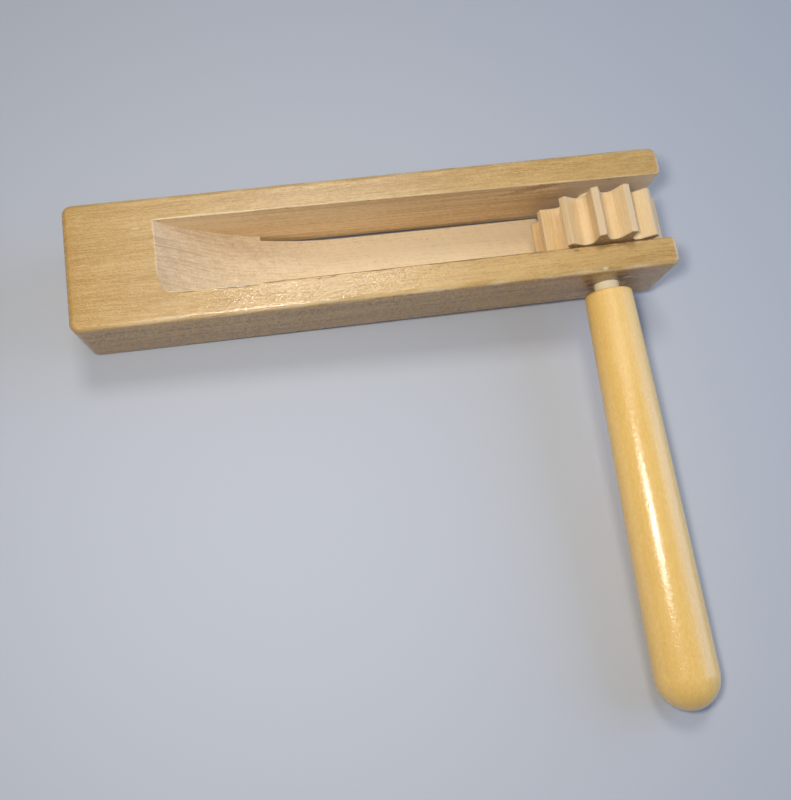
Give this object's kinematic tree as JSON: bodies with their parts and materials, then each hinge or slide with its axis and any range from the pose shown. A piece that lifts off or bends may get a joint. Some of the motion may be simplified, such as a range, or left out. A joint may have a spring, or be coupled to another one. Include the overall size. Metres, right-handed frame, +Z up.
{
  "type": "wooden ratchet",
  "caption": "Hand-held wooden cog rattle: a slotted block with a springy tongue that clicks over a fluted cog as the block is whirled round its turned handle.",
  "frame": {"origin": "middle of the block's closed end face", "axes": "+X along the block to the cog, +Y away from the handle, +Z up with the tongue underneath"},
  "size_m": [0.2, 0.185, 0.0424],
  "materials": {
    "varnished_block": "honey-coloured satin varnish, grain along the block",
    "raw_tongue": "raw milled wood with growth rings in the scoop",
    "raw_cog": "raw cut wood, grain along the axle",
    "pale_dowel": "raw pale dowel",
    "glossy_handle": "glossy varnish on turned wood"
  },
  "bodies": {
    "frame": {"frame": "varnished_block"},
    "tongue": {"tongue": "raw_tongue"},
    "crank": {"cog_wheel": "raw_cog", "axle": "pale_dowel", "handle": "glossy_handle"}
  },
  "joints": [
    {"name": "crank", "type": "hinge", "parent": "frame", "child": "crank", "pos_m": [0.178, 0, 0], "axis": [0, -1, 0], "continuous": true},
    {"name": "tongue_flex", "type": "hinge", "parent": "frame", "child": "tongue", "pos_m": [0.06155, 0, -0.01075], "axis": [0, 1, 0], "range_deg": [0, 1.7], "stiffness_Nm_per_rad": 5}
  ]
}
